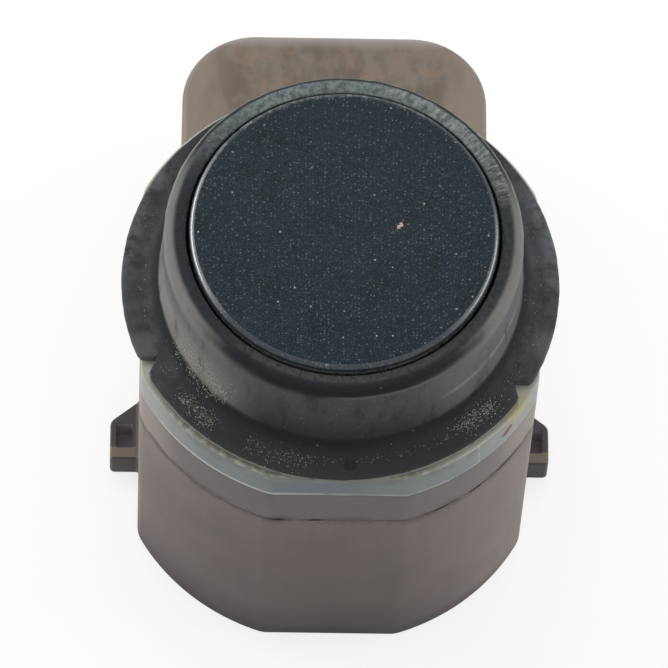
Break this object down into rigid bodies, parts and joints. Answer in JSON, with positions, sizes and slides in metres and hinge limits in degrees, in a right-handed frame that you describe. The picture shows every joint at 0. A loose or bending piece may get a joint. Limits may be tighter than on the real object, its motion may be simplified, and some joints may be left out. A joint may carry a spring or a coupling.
{
  "type": "parking sensor",
  "caption": "Ultrasonic parking sensor: painted round face in a black rubber ring with a notched flange, pale carrier plate, brown-grey housing with side lugs and a rear-facing plug socket.",
  "frame": {"origin": "centre of the painted sensing face, on the sensor's axis", "axes": "+Z out of the painted face along the sensor's axis, +Y from the axis towards the plug socket"},
  "size_m": [0.023, 0.0313, 0.0254],
  "materials": {
    "face_paint": "dark blue metallic paint with fine flecks",
    "ring_rubber": "matt black rubber, dusty and scuffed",
    "pale_plastic": "pale grey-green translucent plastic",
    "housing_plastic": "satin brown-grey plastic with grime",
    "potting": "cast black compound",
    "piezo_ceramic": "fired and silvered",
    "copper_wire": "lacquered copper",
    "soft_filler": "soft grey filler",
    "black_plastic": "moulded black",
    "tinned_contact": "tin plated",
    "board_laminate": "green solder mask",
    "tan_ceramic": "unglazed",
    "ferrite": "pressed ferrite"
  },
  "bodies": {
    "root": {"transducer_cup": "face_paint", "decoupling_ring": "ring_rubber", "carrier_plate": "pale_plastic", "front_frame": "housing_plastic", "housing": "housing_plastic", "rear_potting": "potting", "piezo_disc": "piezo_ceramic", "piezo_lead_left": "copper_wire", "piezo_lead_right": "copper_wire", "damping_plug": "soft_filler", "contact_carrier": "black_plastic", "contact_post_left": "tinned_contact", "contact_post_right": "tinned_contact", "circuit_board": "board_laminate", "control_chip": "black_plastic", "quartz_crystal": "tinned_contact", "diode": "black_plastic", "storage_capacitor": "tan_ceramic", "filter_capacitor_1": "tan_ceramic", "filter_capacitor_2": "tan_ceramic", "resistor_1": "black_plastic", "resistor_2": "black_plastic", "resistor_3": "black_plastic", "transformer_base": "black_plastic", "transformer_core": "ferrite", "transformer_winding": "copper_wire", "socket_pin_1": "tinned_contact", "socket_pin_2": "tinned_contact", "socket_pin_3": "tinned_contact"}
  },
  "joints": []
}
